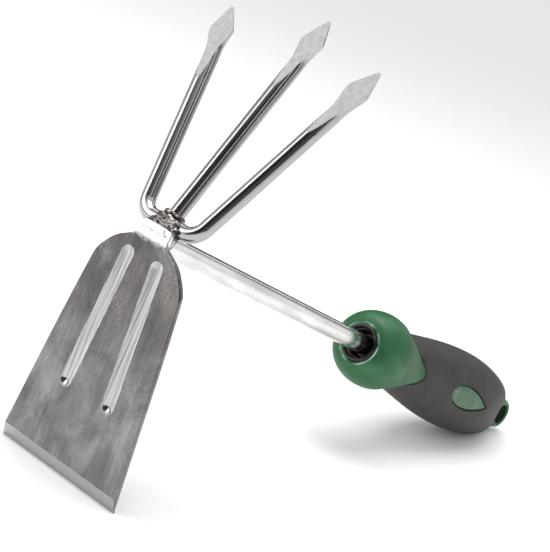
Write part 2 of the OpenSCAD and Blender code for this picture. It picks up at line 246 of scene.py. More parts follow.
def stainless_sheet():
    """Cold-rolled stainless sheet, pressed and belt-polished: a cloudy satin grey with
    faint streaks along the blade and clusters of short handling scratches."""
    m, t, mm, made = patterned("stainless_sheet", {
        "streak": ("uv", 1.0, 5, 0.65, (1.1, 0.035, 1)),
        "cloud": ("uv", 1.0, 5, 0.65, (0.075, 0.05, 1), 0.6),
        "fine": ("uv", 3.0, 3, 0.6, (1, 0.2, 1)),
        "speck": ("uv", 1.0, 4, 0.75, (2.2, 1.6, 1), 0.9),
        "cluster": ("uv", 1.0, 2, 0.5, (0.06, 0.05, 1)),
        "ragged": ("uv", 1.0, 3, 0.6, (0.35, 0.35, 1), 0.4)})
    made["down"] = add(t, "ShaderNodeSeparateXYZ", {0: mm["uv"]}).outputs["Y"]
    # Each line makes a pattern: a sum or product of two, or one spread to new values.
    for key, *how in (
            ("cloud", "MULTIPLY", "cloud", 0.7),
            ("streak", "MULTIPLY", "streak", 0.3),
            ("mix", "ADD", "cloud", "streak"),
            # Painted shade: the upper half is darker than the lower half.
            ("upper_shade", "down", 26, 68, 1.0, 0.0),
            # Handling scratches: pale specks that gather in clusters.
            ("cluster", "cluster", 0.46, 0.62, 0.05, 1.0),
            ("high", "down", 40, 72, 1.0, 0.25),
            ("cluster", "MULTIPLY", "cluster", "high"),
            ("speck", "speck", 0.53, 0.66, 0, 1),
            ("mark", "MULTIPLY", "speck", "cluster"),
            # The neck was buffed with the welds; the flat was only belt-polished.
            ("edge", "MULTIPLY", "ragged", 5.0),
            ("edge", "ADD", "down", "edge"),
            ("flat", "edge", 5.0, 6.6, 0.0, 1.0),
            ("satin", "mix", 0.3, 0.7, 0.23, 0.15)):
        if len(how) == 3:
            kind, a, b = how
            made[key] = add(t, "ShaderNodeMath", {0: made[a], 1: made.get(b, b)},
                            operation=kind)
        else:
            made[key] = add(t, "ShaderNodeMapRange", {
                "Value": made[how[0]], **dict(zip(SPREAD, how[1:]))})
    colour = add(t, "ShaderNodeValToRGB", {"Fac": made["mix"]},
                 [(0.34, "605f5e"), (0.50, "7b7978"), (0.66, "9b9997")])
    # The upper half is multiplied darker: painted shade.
    dull = add(t, "ShaderNodeMix", {
        "Factor": made["upper_shade"], "A": colour, "B": linear("dad8d7")},
        data_type="RGBA", blend_type="MULTIPLY")
    whole = add(t, "ShaderNodeMix", {
        "Factor": made["mark"], "A": dull, "B": linear("c2c0be")}, data_type="RGBA")
    buffed = add(t, "ShaderNodeValToRGB", {"Fac": made["ragged"]},
                 [(0.34, "7d7a78"), (0.44, "efeeec"), (0.7, "f8f7f5")])
    tone = add(t, "ShaderNodeMix", {"Factor": made["flat"], "A": buffed, "B": whole},
               data_type="RGBA")
    rough = add(t, "ShaderNodeMix", {
        "Factor": made["flat"], "A": 0.14, "B": made["satin"]}, data_type="FLOAT")
    grain = add(t, "ShaderNodeBump", {
        "Height": made["fine"], "Distance": 0.006 * MM, "Strength": 1.0})
    scratched = add(t, "ShaderNodeBump", {
        "Height": made["mark"], "Distance": 0.02 * MM, "Strength": 0.8, "Normal": grain})
    shader = add(t, "ShaderNodeBsdfPrincipled", {
        "Base Color": tone, "Roughness": rough, "Normal": scratched, "Metallic": 1.0})
    add(t, "ShaderNodeOutputMaterial", {"Surface": shader})
    return m


def groove_highlight():
    """The same sheet painted brighter in the grooves: a painted highlight, with drawn lines.
    """
    return surface("groove_highlight", {"drawn": ("uv", 1.0, 4, 0.6, (1.6, 0.03, 1))},
                   "drawn", [(0.34, "8e8c8b"), (0.5, "b4b2b1"), (0.64, "d6d4d3")],
                   0.2, Metallic=1.0)


def ground_bevel():
    """The same sheet ground on a stone: an even light grey with close fine lines."""
    return surface("ground_bevel", {"lines": ("uv", 1.0, 4, 0.7, (0.6, 6.0, 1))},
                   "lines", [(0.3, "a3a2a0"), (0.7, "c6c5c3")], 0.42,
                   [("lines", 0.01)], Metallic=1.0)


def polished_rod(name="polished_rod", dull="a09e9c", bright="c2c0be"):
    """Cold-drawn carbon steel rod, nickel-chrome plated: a hard bright mirror that is
    drawn out along the rod by its polishing lines."""
    return surface(name, {"lines": ("uv", 1.0, 4, 0.6, (2.2, 0.02, 1)),
                          "haze": ("uv", 1.0, 3, 0.5, (0.25, 0.05, 1))},
                   "haze", [(0.3, dull), (0.7, bright)], ("lines", 0.10, 0.24),
                   [("lines", 0.012)], Metallic=1.0)


def ground_facet():
    """Forged tine points ground flat and left unpolished: a pale, sandy matte grey."""
    return surface("ground_facet", {"grain": ("solid", 2.4, 4, 0.7),
                                    "spots": ("solid", 0.45, 3, 0.6)},
                   "spots", [(0.35, "b4b2b1"), (0.65, "c4c2c1")], ("grain", 0.50, 0.58),
                   [("grain", 0.0015)], Metallic=1.0)


def weld_metal():
    """Arc-weld bead, wire-brushed and plated over: lumpy, dark in its hollows and
    bright on its crests."""
    return surface("weld_metal", {"lump": ("solid", 0.34, 4, 0.55),
                                  "grain": ("solid", 3.0, 3, 0.6)},
                   "lump", [(0.38, "2c2827"), (0.5, "6e6967"), (0.62, "bcb8b6")],
                   ("grain", 0.2, 0.45), [("lump", 0.12), ("grain", 0.015)], Metallic=1.0)


def green_shell():
    """Injection-moulded polypropylene, spark-eroded satin: a soft green sheen with
    slight flow clouds."""
    return surface("green_polypropylene", {
        "flow": ("solid", 0.055, 3, 0.5, (1, 1, 1), 0.6), "grain": ("solid", 2.2, 3, 0.6)},
        "flow", [(0.3, "0f4b26"), (0.52, "1b5c33"), (0.72, "3b7a52")], 0.47,
        [("grain", 0.012)], IOR=1.49)


def green_bore_shade():
    """The same plastic painted dark inside the hang hole: painted shade in the bore."""
    return surface("green_bore_shade", {"soil": ("solid", 0.5, 3, 0.6)},
                   "soil", [(0.35, "06180c"), (0.65, "123a20")], 0.6)


def rim_highlight():
    """The same plastic at the seat's edge, painted paler in patches: a painted highlight, a
    thin broken gleam."""
    return surface("rim_highlight", {"worn": ("solid", 0.16, 4, 0.65)},
                   "worn", [(0.40, "1e6038"), (0.50, "6d9c80"), (0.62, "c4d8ca")], 0.4)


def green_inlay_sheen():
    """The same plastic standing in the grip, a little rougher and painted paler and greyer: a
    painted sheen.
    """
    return surface("green_inlay_sheen", {
        "wear": ("solid", 0.14, 4, 0.6, (1, 1, 1), 0.5), "grain": ("solid", 2.2, 3, 0.6)},
        "wear", [(0.3, "2a5c3a"), (0.52, "4a6b54"), (0.72, "6c7c70")], 0.5,
        [("grain", 0.02)], IOR=1.49)


def soft_grip():
    """Over-moulded thermoplastic rubber: warm dark grey, matt, with a very fine
    moulded grain and a dusty bloom."""
    return surface("soft_grip_rubber", {"bloom": ("solid", 0.09, 4, 0.6),
                                        "grain": ("solid", 3.2, 3, 0.65)},
                   "bloom", [(0.3, "2d2c2a"), (0.55, "363533"), (0.8, "42403c")],
                   ("grain", 0.58, 0.72), [("grain", 0.03)], IOR=1.5)


def joint_shade_rubber():
    """The same rubber painted near black in the joints, a little wet: painted shade where the
    collar shades the grip.
    """
    return surface("joint_shade_rubber", {"grain": ("solid", 2.0, 3, 0.6)},
                   "grain", [(0.3, "0c0c0b"), (0.7, "181817")], 0.6)


def black_ring():
    """High-gloss acetal ring, turned smooth: near black with sharp pale reflections."""
    return surface("black_acetal", {"tone": ("solid", 0.3, 2, 0.5)},
                   "tone", [(0.3, "141112"), (0.7, "221c20")], 0.12, IOR=1.48)


def studio_floor():
    """Matt white paper: plain, pale and without any gloss."""
    return surface("white_paper", {"fibre": ("solid", 0.02, 2, 0.5)},
                   "fibre", [(0.3, "f6f6f6"), (0.7, "f8f8f8")], 0.9,
                   **{"Specular IOR Level": 0.0})


# ---------------------------------------------------------------- sizes


class CultivatorHead(bpy.types.PropertyGroup):
    blade_len: bpy.props.FloatProperty(
        name="Blade length", description="From the bend line to the cutting edge, mm",
        default=92.5, min=60, max=120)
    sheet_t: bpy.props.FloatProperty(
        name="Sheet thickness", description="Thickness of the blade, mm",
        default=2.3, min=1, max=4)
    groove_depth: bpy.props.FloatProperty(
        name="Groove depth", description="Depth of the pressed grooves, mm",
        default=0.82, min=0.2, max=2)
    rod_r: bpy.props.FloatProperty(
        name="Tine rod radius", description="Radius of the tine rod, mm",
        default=2.95, min=2, max=4)
    bend_r: bpy.props.FloatProperty(
        name="Bow bend radius", description="Radius of the two bends at the axis, mm",
        default=7.0, min=4, max=8)
    shaft_r: bpy.props.FloatProperty(
        name="Shaft radius", description="Radius of the shaft, mm",
        default=4.25, min=3, max=6)
    weld_seed: bpy.props.IntProperty(
        name="Weld seed", description="Which random beads are laid", default=4)


class CultivatorHandle(bpy.types.PropertyGroup):
    front: bpy.props.FloatProperty(
        name="Front face", description="Place of the collar's face on the shaft, mm",
        default=159.4)
    collar_r: bpy.props.FloatProperty(
        name="Collar radius", description="Largest radius of the collar, mm", default=17.0)
    belly_r: bpy.props.FloatProperty(
        name="Belly radius", description="Largest radius of the grip, mm", default=19.1)
    hole_r: bpy.props.FloatProperty(
        name="Hang hole radius", description="Radius of the hang hole, mm", default=5.1)


class CultivatorStage(bpy.types.PropertyGroup):
    light: bpy.props.FloatProperty(
        name="Light", description="Strength of the studio", default=1.0, min=0.1, max=4)


def head_props():
    return bpy.context.scene.cultivator_head


def handle_props():
    return bpy.context.scene.cultivator_handle


def stage_props():
    return bpy.context.scene.cultivator_stage


# ---------------------------------------------------------------- blade


# The neck's upper end and the bevel's start, in mm below the bend line, and how far
# the blade leans back.
NECK_TOP, BEVEL_FROM, BLADE_LEAN = -3.2, 87.7, math.radians(10)


def blade_half_width(b, length):
    """Half the blade's width at b mm below its bend line."""
    return through(
        b,
        [-3.2, -3.0, -2.5, -1.6, 0, 1.2, 2.6, 3.8, 5.0, 6.4, 8.6, 11.2, 13.4, 16.1, 19.9,
         length],
        [5.0, 5.9, 6.7, 7.2, 7.3, 7.3, 7.7, 8.9, 11.0, 13.6, 16.3, 18.5, 20.1, 21.3, 21.9,
         29.8],
    )


def groove_field(a, b, depth):
    """Depth of the two pressed grooves at (a, b) of the blade's face."""
    total = np.zeros(np.broadcast(a, b).shape)
    top, low = np.array([7.3, 11.0]), np.array([11.0, 61.0])
    run = low - top
    for side in (-1, 1):
        da, db = side * a - top[0], b - top[1]
        t = np.clip((da * run[0] + db * run[1]) / (run @ run), 0, 1)
        far = np.hypot(da - t * run[0], db - t * run[1])
        q = np.clip(far / 3.05, 0, 1)
        total = total + depth * (0.5 + 0.5 * np.cos(math.pi * q)) ** 0.9
        # The sheet is drawn in a little round each groove.
        total = total + 0.16 * np.exp(-((far / 5.5) ** 2))
    return total


class CULTIVATOR_OT_blade(bpy.types.Operator):
    """Pressed hoe blade with its neck, grooves and ground bevel"""

    bl_idname = "cultivator.blade"
    bl_label = "Hoe blade"

    def execute(self, context):
        p = head_props()
        rows = np.unique(np.round(np.concatenate([
            [NECK_TOP, -3.13, -3.0], np.linspace(-2.8, 1.2, 20), np.linspace(1.3, 20, 74),
            np.linspace(20.5, 56, 60), np.linspace(56.5, 66, 34), np.linspace(66.8, 87.2, 26),
            [87.5, 87.62, BEVEL_FROM, 87.78, 87.95], np.linspace(88.4, p.blade_len, 9)]), 4))
        half = np.concatenate([np.linspace(0, 0.2, 10)[:-1], np.linspace(0.2, 0.6, 46)[:-1],
                               np.linspace(0.6, 0.97, 18), [0.985, 0.995, 1.0]])
        front = np.concatenate([-half[:0:-1], half])
        rear = np.concatenate([np.linspace(0, 0.2, 6)[:-1], np.linspace(0.2, 0.6, 26)[:-1],
                               np.linspace(0.6, 1.0, 9)])
        back = np.concatenate([-rear[:0:-1], rear])[::-1]
        # The outer face runs down from the neck through a small bend.
        fine = np.linspace(-4, p.blade_len + 1, 4000)
        lean = BLADE_LEAN * smooth((fine - 1.8) / 2.8)
        step = np.gradient(fine)
        cx = np.cumsum(np.sin(lean) * step)
        cz = np.cumsum(-np.cos(lean) * step)
        k = int(np.interp(p.blade_len, fine, np.arange(4000.0)))
        end = np.array([-2.3, 2.3]) + p.blade_len * np.array(
            [math.sin(BLADE_LEAN), -math.cos(BLADE_LEAN)])
        cx, cz = cx - cx[k] + end[0], cz - cz[k] + end[1]
        shell, loops = Shell(), []
        for b in rows:
            c = np.array([np.interp(b, fine, cx), np.interp(b, fine, cz)])
            a10 = np.interp(b, fine, lean)
            inward = np.array([math.cos(a10), math.sin(a10)])
            w = float(blade_half_width(b, p.blade_len))
            ground = (b - BEVEL_FROM) / (p.blade_len - BEVEL_FROM)
            cut = max(0.0, ground) * (p.sheet_t - 0.3)
            # A faint score line marks the bend.
            score = 0.07 * math.exp(-(((b - 0.2) / 0.5) ** 2))
            thick = p.sheet_t - cut
            rr = min(0.35, thick * 0.45)
            top = max(0.0, 0.4 - (b - NECK_TOP)) * 0.6
            af, ab = front * (w - rr), back * (w - rr)
            fade = smooth((w - np.abs(af)) / 2.5)
            worn = score * smooth((6.3 - np.abs(af)) / 1.2)
            # The outer face, one rounded edge, the inner face and the other edge.
            edge = [(w - rr + rr * math.sin(q * math.pi / 2),
                     cut + top + rr * (1 - math.cos(q * math.pi / 2)))
                    for q in (0.3, 0.62, 0.9)] + [(w, cut + top + thick / 2)]
            inner = groove_field(ab, b, p.groove_depth) * smooth((w - np.abs(ab)) / 2.5)
            across = [*af, *(x for x, _ in edge), *ab, *(-x for x, _ in reversed(edge))]
            depth = [*(groove_field(af, b, p.groove_depth) * fade + cut + worn + top),
                     *(d for _, d in edge), *(inner + cut + thick - top),
                     *(d for _, d in reversed(edge))]
            across, depth = np.array(across), np.array(depth)
            pts = np.stack([c[0] + depth * inward[0], across,
                            c[1] + depth * inward[1]], -1)
            loops.append(shell.loop(pts, np.stack([across, np.full(len(across), b)], -1)))
        for b, above, below in zip(rows, loops, loops[1:]):
            at = len(shell.slots)
            shell.bridge(above, below)
            # Faces in the grooves take the brighter sheet: a painted highlight.
            sunk = groove_field(front * blade_half_width(b, p.blade_len), b, 1.0)
            for j in range(len(front) - 1):
                if b > BEVEL_FROM - 0.1:
                    shell.slots[at + j] = 1
                elif min(sunk[j], sunk[j + 1]) > 0.12:
                    shell.slots[at + j] = 2
        for ring in (loops[0], loops[-1]):
            shell.cap(ring, np.array([shell.points[i] for i in ring]).mean(0))
        blade = shell.piece("blade", [stainless_sheet(), ground_bevel(), groove_highlight()],
                            crease=28)
        hand_over(blade, "steel_sheet", "hoe_blade")
        return {"FINISHED"}


# ---------------------------------------------------------------- tines and shaft

# Half a point's width, its length, the flare behind it and the whole facet, in mm.
POINT_WIDE, POINT_LEN, FLARE, FACET = 4.85, 9.8, 13.0, 32.0


def point_section(s, rod_r):
    """Section of a forged point at s mm from its tip: x and y of the round back from one
    corner of the facet to the other, and x of the flat facet."""
    f = np.interp(s, [0, FACET], [0.4, rod_r * 0.9995])
    chord = math.sqrt(max(rod_r**2 - f**2, 1e-6))
    if s < POINT_LEN:
        wide = 0.45 + (POINT_WIDE - 0.45) * (s / POINT_LEN) ** 0.92
        keel = 0.45 + (rod_r * 0.80 - 0.45) * (s / POINT_LEN) ** 0.9
        m = 1.0
    else:
        m = float(1 - smooth((s - POINT_LEN) / FLARE))
        wide = chord + (POINT_WIDE - chord) * m
        keel = rod_r * (1 - 0.20 * m)
    t = np.linspace(-1, 1, 37)
    lim = math.pi - math.acos(min(1, f / rod_r))
    round_x = rod_r * np.cos(t * lim)
    round_y = rod_r * np.sin(t * lim)
    flat_x = -f + (keel + f) * np.cos(t * math.pi / 2) ** 0.8
    flat_y = wide * np.sin(t * math.pi / 2)
    x = round_x * (1 - m) + flat_x * m
    y = round_y * (1 - m) + flat_y * m
    return x, y, -f


def forged_point(shell, foot, along, outward, length, rod_r, start):
    """A point from `start` mm of the way up the tine to its tip."""
    foot, along, outward = map(np.array, (foot, along, outward))
    side = np.cross(along, outward)
    s = np.concatenate([
        [length - start], np.linspace(min(FACET + 0.5, length - start - 0.5), 22.8, 16),
        np.linspace(22, POINT_LEN + 0.2, 26), [POINT_LEN, POINT_LEN - 0.2],
        np.linspace(POINT_LEN - 0.6, 0.25, 20), [0.08]])
    rings = []
    for d in s:
        x, y, fx = point_section(max(d, 0), rod_r)
        flat = np.linspace(1, -1, 13)[1:-1]
        xs = np.concatenate([x, np.full(len(flat), fx)])
        ys = np.concatenate([y, flat * abs(y[-1])])
        centre = foot + along * (length - d)
        pts = centre - np.outer(xs, outward) + np.outer(ys, side)
        ang = np.linspace(0, 2 * math.pi * rod_r, len(xs), endpoint=False)
        rings.append(shell.loop(pts, np.stack([ang, np.full(len(xs), length - d)], -1)))
    for i, (a, b) in enumerate(zip(rings, rings[1:])):
        at = len(shell.slots)
        shell.bridge(a, b)
        if s[i] <= FACET:
            for j in range(36, len(a)):
                shell.slots[at + j] = 1
    for ring, d in ((rings[0], s[0]), (rings[-1], 0.0)):
        shell.cap(ring, foot + along * (length - d))


def sized_tree(name, **sizes):
    """A geometry tree with named sizes as inputs: the tree, the sockets' identifiers and
    its input node."""
    tree = bpy.data.node_groups.new(name, "GeometryNodeTree")
    for way in ("INPUT", "OUTPUT"):
        tree.interface.new_socket(name="Geometry", in_out=way,
                                  socket_type="NodeSocketGeometry")
    ids = {}
    for key, (label, default) in sizes.items():
        kind = "NodeSocketInt" if isinstance(default, int) else "NodeSocketFloat"
        s = tree.interface.new_socket(name=label, in_out="INPUT", socket_type=kind)
        s.default_value = default
        ids[key] = s.identifier
    return tree, ids, add(tree, "NodeGroupInput").outputs


def curve_object(name, paths):
    """Open polylines in the resting frame, from points in mm of the shaft's frame."""
    curve = bpy.data.curves.new(name, "CURVE")
    curve.dimensions = "3D"
    for path in paths:
        spline = curve.splines.new("POLY")
        spline.points.add(len(path) - 1)
        for pt, co in zip(spline.points, placed(path)):
            pt.co = (*co, 1)
    obj = bpy.data.objects.new(name, curve)
    bpy.context.scene.collection.objects.link(obj)
    return obj


def grown(source, tree, values, name):
    """Runs a geometry tree on an object and keeps the result as a plain mesh."""
    mod = source.modifiers.new("grow", "NODES")
    mod.node_group = tree
    for key, value in values.items():
        mod[key] = value
    dg = bpy.context.evaluated_depsgraph_get()
    mesh = bpy.data.meshes.new_from_object(source.evaluated_get(dg), depsgraph=dg)
    bpy.data.objects.remove(source)
    if not len(mesh.polygons):
        raise RuntimeError(f"{name} came out empty")
    mesh.name = name
    obj = bpy.data.objects.new(name, mesh)
    bpy.context.scene.collection.objects.link(obj)
    return obj


def bent_rod_tree(material):
    """A round rod swept along a polyline whose corners are bent to a radius."""
    tree, ids, given = sized_tree("bent_rod", rod=("Rod radius", 0.00295),
                                  bend=("Bend radius", 0.007), sides=("Sides", 64))
    bent = add(tree, "GeometryNodeFilletCurve", {
        0: given["Geometry"], "Radius": given["Bend radius"], "Count": 22}, mode="POLY")
    circle = add(tree, "GeometryNodeCurvePrimitiveCircle", {
        "Resolution": given["Sides"], "Radius": given["Rod radius"]})
    sweep = add(tree, "GeometryNodeCurveToMesh", {
        "Curve": bent, "Profile Curve": circle, "Fill Caps": True})
    soft = add(tree, "GeometryNodeSetShadeSmooth", {"Geometry": sweep})
    real = add(tree, "GeometryNodeRealizeInstances", {"Geometry": soft})
    mat = add(tree, "GeometryNodeSetMaterial", {"Geometry": real, "Material": material})
    add(tree, "NodeGroupOutput", {0: mat})
    return tree, ids


SIDE_LEAN, SPLAY, CENTRE_LEAN = map(math.radians, (11.7, 15.3, 15.6))
BOW = np.array([3.1, 0.0, 6.7])
SIDE_LEN, CENTRE_LEN, BOW_HALF = 84.7, 94.1, 12.8
POINT_FROM = 44.0


def side_way(sign):
    """Direction up a side tine and the way its facet looks."""
    up = np.array([math.sin(SIDE_LEAN), 0, math.cos(SIDE_LEAN)])
    along = up * math.cos(SPLAY) + np.array([0, sign * math.sin(SPLAY), 0])
    outward = np.array([-math.cos(SIDE_LEAN), 0, math.sin(SIDE_LEAN)])
    return along, outward


class CULTIVATOR_OT_tines(bpy.types.Operator):
    """Bow with its two side tines, and the centre tine"""

    bl_idname = "cultivator.tines"
    bl_label = "Tines"

    def execute(self, context):
        p = head_props()
        rod, facet = polished_rod(), ground_facet()
        feet = {s: BOW + np.array([0, s * BOW_HALF, 0]) for s in (-1, 1)}
        path = [feet[-1] + side_way(-1)[0] * POINT_FROM, feet[-1], feet[1],
                feet[1] + side_way(1)[0] * POINT_FROM]
        tree, ids = bent_rod_tree(rod)
        bow = grown(curve_object("bow_path", [path]), tree, {
            ids["rod"]: p.rod_r * MM, ids["bend"]: p.bend_r * MM, ids["sides"]: 64}, "bow")
        bow.data.set_sharp_from_angle(angle=math.radians(40))
        shell = Shell()
        for s in (-1, 1):
            along, outward = side_way(s)
            forged_point(shell, feet[s], along, outward, SIDE_LEN, p.rod_r, POINT_FROM)
        points = shell.piece("side_tine_points", [rod, facet], crease=32)
        hand_over(bow, "steel_rod", "side_tines")
        hand_over(points, "steel_rod")
        along = np.array([math.sin(CENTRE_LEAN), 0, math.cos(CENTRE_LEAN)])
        outward = np.array([-math.cos(CENTRE_LEAN), 0, math.sin(CENTRE_LEAN)])
        shell = Shell()
        forged_point(shell, BOW, along, outward, CENTRE_LEN, p.rod_r, 0.5)
        centre = shell.piece("centre_tine_rod", [rod, facet], crease=32)
        hand_over(centre, "steel_rod", "centre_tine")
        return {"FINISHED"}


class CULTIVATOR_OT_shaft(bpy.types.Operator):
    """Polished round shaft"""

    bl_idname = "cultivator.shaft"
    bl_label = "Shaft"

    def execute(self, context):
        r = head_props().shaft_r
        shell = Shell()
        rings = turned(shell, [(0.6, 0.4), (0.6, r - 0.5), (0.72, r - 0.2), (1.1, r)]
                       + [(x, r) for x in np.linspace(2, 219, 60)]
                       + [(220.8, r - 0.5), (220.8, 0.4)], 96)
        shell.cap(rings[0], (0.6, 0, 0))
        shell.cap(rings[-1], (220.8, 0, 0))
        rod = shell.piece("shaft_rod", [polished_rod("polished_shaft", "d2d0ce", "f2f0ee")],
                          crease=40)
        hand_over(rod, "steel_rod", "shaft")
        return {"FINISHED"}


def weld_tree(material):
    """Overlapping round puddles laid along a path and melted into one lumpy bead."""
    tree, ids, given = sized_tree("weld_bead", size=("Bead radius", 0.0015),
                                  pitch=("Pitch", 0.001), voxel=("Voxel", 0.00022),
                                  seed=("Seed", 1))
    pts = add(tree, "GeometryNodeCurveToPoints", {
        "Curve": given["Geometry"], "Length": given["Pitch"]}, mode="LENGTH")
    ball = add(tree, "GeometryNodeMeshIcoSphere", {
        "Radius": given["Bead radius"], "Subdivisions": 3})
    grow, stray = [add(tree, "FunctionNodeRandomValue", {
        0: low, 1: high, "Seed": given["Seed"]}, data_type="FLOAT_VECTOR")
        for low, high in (((0.78, 0.78, 0.7), (1.22, 1.22, 1.1)),
                          ((-0.0003,) * 3, (0.0003,) * 3))]
    moved = add(tree, "GeometryNodeSetPosition", {"Geometry": pts, "Offset": stray})
    put = add(tree, "GeometryNodeInstanceOnPoints", {
        "Points": moved, "Instance": ball, "Scale": grow})
    real = add(tree, "GeometryNodeRealizeInstances", {"Geometry": put})
    cloud = add(tree, "GeometryNodeMeshToVolume", {
        "Mesh": real, "Density": 1.0, "Voxel Size": given["Voxel"],
        "Interior Band Width": 0.002}, resolution_mode="VOXEL_SIZE")
    skin = add(tree, "GeometryNodeVolumeToMesh", {
        "Volume": cloud, "Voxel Size": given["Voxel"], "Threshold": 0.1},
        resolution_mode="VOXEL_SIZE")
    # The beads melt together where their points are averaged with their neighbours.
    melted = add(tree, "GeometryNodeBlurAttribute", {
        "Value": add(tree, "GeometryNodeInputPosition"), "Iterations": 14},
        data_type="FLOAT_VECTOR")
    run = add(tree, "GeometryNodeSetPosition", {"Geometry": skin, "Position": melted})
    soft = add(tree, "GeometryNodeSetShadeSmooth", {"Geometry": run})
    mat = add(tree, "GeometryNodeSetMaterial", {"Geometry": soft, "Material": material})
    last = add(tree, "GeometryNodeRealizeInstances", {"Geometry": mat})
    add(tree, "NodeGroupOutput", {0: last})
    return tree, ids


class CULTIVATOR_OT_welds(bpy.types.Operator):
    """Weld beads round the head"""

    bl_idname = "cultivator.welds"
    bl_label = "Welds"

    def execute(self, context):
        p = head_props()
        tree, ids = weld_tree(weld_metal())
        a = np.linspace(0, 2 * math.pi, 25)
        up = np.array([math.sin(CENTRE_LEAN), 0, math.cos(CENTRE_LEAN)])
        fore = np.array([math.cos(CENTRE_LEAN), 0, -math.sin(CENTRE_LEAN)])
        foot = [BOW + up * 3.3 + fore * 2.9 * math.cos(t) + np.array([0, 3.1 * math.sin(t), 0])
                for t in a]
        beads = {
            "centre_tine_weld": (1.25, 0.5, [foot]),
            "neck_top_weld": (1.65, 0.5, [[(-0.3, 5.4, 5.3), (-0.5, 2.0, 6.2),
                                           (-0.6, -2.5, 6.2), (-0.4, -6.4, 5.4)],
                                          [(0.3, 2.6, 8.2), (0.1, -0.5, 8.7),
                                           (0.4, -5.4, 7.8)]]),
            "neck_side_weld_left": (1.7, 1.0, [[(0.9, 5.1, -1.8), (0.9, 5.3, 2.4)]]),
            "neck_side_weld_right": (1.8, 1.0, [[(0.9, -5.2, -2.0), (1.1, -5.6, 0.5),
                                                 (1.0, -6.2, 2.6)]]),
            "bow_weld": (1.4, 0.9, [[(6.6, -3.2, 4.4), (6.7, 0, 4.9), (6.6, 3.2, 4.4)]]),
        }
        for k, (node, (size, pitch, paths)) in enumerate(beads.items()):
            bead = grown(curve_object("path", paths), tree, {
                ids["size"]: size * MM, ids["pitch"]: pitch * MM,
                ids["voxel"]: 0.16 * MM, ids["seed"]: p.weld_seed + k}, f"bead_{node}")
            hand_over(bead, "weld", node)
        return {"FINISHED"}


# ---------------------------------------------------------------- handle


# The waist's radius and end, the belly's place, the tail's length behind it and the
# length of the collar's nose, in mm, measured from the collar's face.
WAIST_R, WAIST_END, BELLY_AT, TAIL_LEN, NOSE_LEN = 13.6, 37.5, 100.5, 57, 14.5
# The eye's centre, half its thickness, and the radius that turns an arc into an angle.
EYE_AT, EYE_HALF, GRIP_ARC = 153.3, 5.62, 18.6


def grip_radius(u, belly):
    """Radius of the grip at u mm behind the collar's face."""
    u = np.asarray(u, float)
    rise = WAIST_R + (belly - WAIST_R) * np.sin(
        np.clip((u - WAIST_END) / (BELLY_AT - WAIST_END), 0, 1) * math.pi / 2) ** 1.15
    fall = belly * np.sqrt(np.clip(1 - ((u - BELLY_AT) / TAIL_LEN) ** 2, 0, 1))
    # The end draws in to the round of the eye.
    fall = fall - 0.35 * smooth((u - 145) / 6)
    return np.where(u < WAIST_END, WAIST_R, np.where(u < BELLY_AT, rise, fall))


def collar_radius(u, p):
    """Radius of the collar at u mm behind its face: a round nose, then in to the waist."""
    u = np.asarray(u, float)
    nose = 10 + (p.collar_r - 10) * np.sqrt(np.clip(1 - (1 - u / NOSE_LEN) ** 2, 0, 1))
    t = np.clip((u - NOSE_LEN) / (WAIST_END - NOSE_LEN), 0, 1)
    back = p.collar_r + (WAIST_R - p.collar_r) * (1 - np.cos(math.pi * t)) / 2
    behind = np.where(u < WAIST_END, back, grip_radius(u, p.belly_r))
    return np.where(u < NOSE_LEN, nose, behind)


def side_width(u):
    """Half the handle's thickness across the sides, which thin towards the eye."""
    return through(u, [90, 98, 104, 112.6, 121, 129.6, 136.6, 142.6, 147, 170],
                   [60, 38, 28, 21.6, 17.2, 13.7, 10.7, 8.3, 6.8, 5.65])


def flattened(r, u, phi):
    """A round radius r flattened across the sides at angle phi from the top."""
    y = np.abs(np.sin(phi)) * r / side_width(u)
    return r * (1 + y**7) ** (-1 / 7)


def tongue_edge(phi, p):
    """How far behind the face the collar and its tongues reach at angle phi."""
    u = np.full(np.shape(phi), 30.0)
    for _ in range(60):
        z = collar_radius(u, p) * np.abs(np.cos(phi))
        t = 1 - (z / 12.3) ** (1 / 0.55)
        soft = 0.5 * (t + np.sqrt(t * t + 0.0025))
        u = 0.6 * u + 0.4 * (20 + 22.5 * np.where(t > -1, soft, 0.0))
    return u


def round_points(x, phi, r):
    return np.stack([x, r * np.sin(phi), r * np.cos(phi)], -1)


# The inlay's blunt side, its length to the point and half its width, in mm.
INLAY_FROM, INLAY_LEN, INLAY_HALF = 68.5, 35.0, 5.4


def inlay_outline(count, grow):
    """Drop-shaped outline in (u, arc), its point first, widened by grow."""
    t = np.linspace(0, 1, 400) ** 2
    half = INLAY_HALF * np.sqrt(t) * (1 - t) * 1.5 * math.sqrt(3)
    one = np.stack([INLAY_FROM + INLAY_LEN * t, half], -1)[::-1]
    ring = np.concatenate([one, (one * [1, -1])[::-1][1:]])
    run = np.concatenate([[0], np.cumsum(np.hypot(*np.diff(ring, axis=0).T))])
    at = np.linspace(0, run[-1], count, endpoint=False)
    pts = np.stack([np.interp(at, run, ring[:, 0]), np.interp(at, run, ring[:, 1])], -1)
    # Outward normals, averaged round the point.
    edge = np.roll(pts, -1, 0) - np.roll(pts, 1, 0)
    n = np.stack([edge[:, 1], -edge[:, 0]], -1)
    n /= np.linalg.norm(n, axis=1, keepdims=True)
    if (n[count // 4] @ [0, 1]) < 0:
        n = -n
    n[0] = (1, 0)
    return pts + n * grow, n


